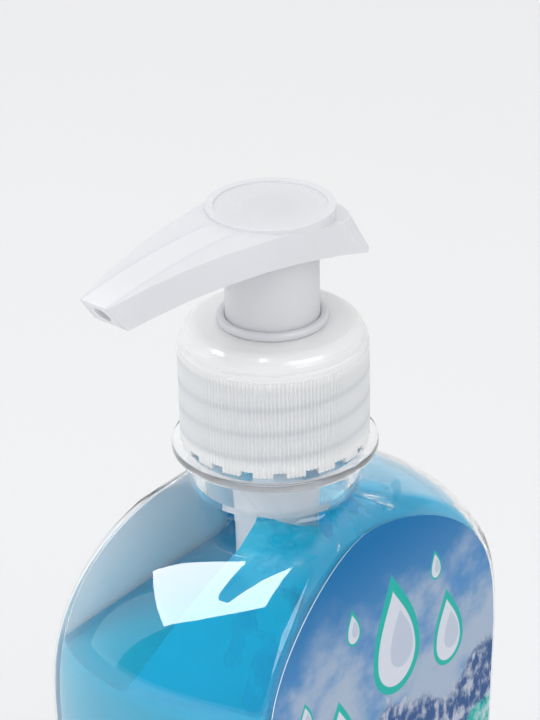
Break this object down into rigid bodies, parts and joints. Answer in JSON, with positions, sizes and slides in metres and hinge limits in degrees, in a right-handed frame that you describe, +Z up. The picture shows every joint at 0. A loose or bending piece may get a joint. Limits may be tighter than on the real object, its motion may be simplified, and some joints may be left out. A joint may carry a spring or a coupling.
{
  "type": "liquid soap bottle",
  "caption": "Clear pump bottle of blue liquid soap with arched flat front and back labels, a ribbed screw closure and a raised pump head with a drooping nozzle.",
  "frame": {"origin": "centre of the base, on the surface that the bottle stands on, on the axis of the neck and pump", "axes": "+Z up along the pump axis; front label faces -Y; at rest the nozzle points 4.9 degrees off -X towards +Y, as in the picture"},
  "size_m": [0.0767, 0.0438, 0.1683],
  "materials": {
    "clear_shell": "clear blown plastic",
    "liquid": "clear blue liquid",
    "label_film": "printed gloss film",
    "milky_plastic": "translucent milky polypropylene",
    "seal_plastic": "soft white polyethylene",
    "steel": "stainless steel"
  },
  "bodies": {
    "bottle_body": {"bottle": "clear_shell", "soap_fill": "liquid", "front_label": "label_film", "back_label": "label_film"},
    "pump_body": {"pump_housing": "milky_plastic", "chaplet": "milky_plastic", "gasket": "seal_plastic", "dip_tube": "milky_plastic", "spring": "steel"},
    "closure_body": {"closure": "milky_plastic"},
    "piston_body": {"piston_seal": "seal_plastic"},
    "head_body": {"actuator": "milky_plastic", "stem": "milky_plastic", "ball_cage": "milky_plastic"},
    "inlet_ball_body": {"inlet_ball": "steel"},
    "outlet_ball_body": {"outlet_ball": "steel"}
  },
  "joints": [
    {"name": "pump_lift", "type": "slide", "parent": "bottle_body", "child": "pump_body", "axis": [0, 0, 1], "range_m": [0, 0.0063]},
    {"name": "closure_turn", "type": "hinge", "parent": "pump_body", "child": "closure_body", "pos_m": [0, 0, 0.14], "axis": [0, 0, 1], "range_deg": [0, 541]},
    {"name": "pump_stroke", "type": "slide", "parent": "pump_body", "child": "piston_body", "axis": [0, 0, 1], "range_m": [-0.01, 0], "stiffness_N_per_m": 700, "springref_m": 0.006, "deforming": ["spring"]},
    {"name": "head_turn", "type": "hinge", "parent": "piston_body", "child": "head_body", "pos_m": [0, 0, 0.15], "axis": [0, 0, 1], "continuous": true},
    {"name": "inlet_ball_lift", "type": "slide", "parent": "pump_body", "child": "inlet_ball_body", "axis": [0, 0, 1], "range_m": [0, 0.0015]},
    {"name": "outlet_ball_lift", "type": "slide", "parent": "head_body", "child": "outlet_ball_body", "axis": [0, 0, 1], "range_m": [0, 0.0015]}
  ],
  "couplings": [
    {"joint": "closure_turn", "follows": "pump_lift", "rad_per_m": 1496}
  ]
}
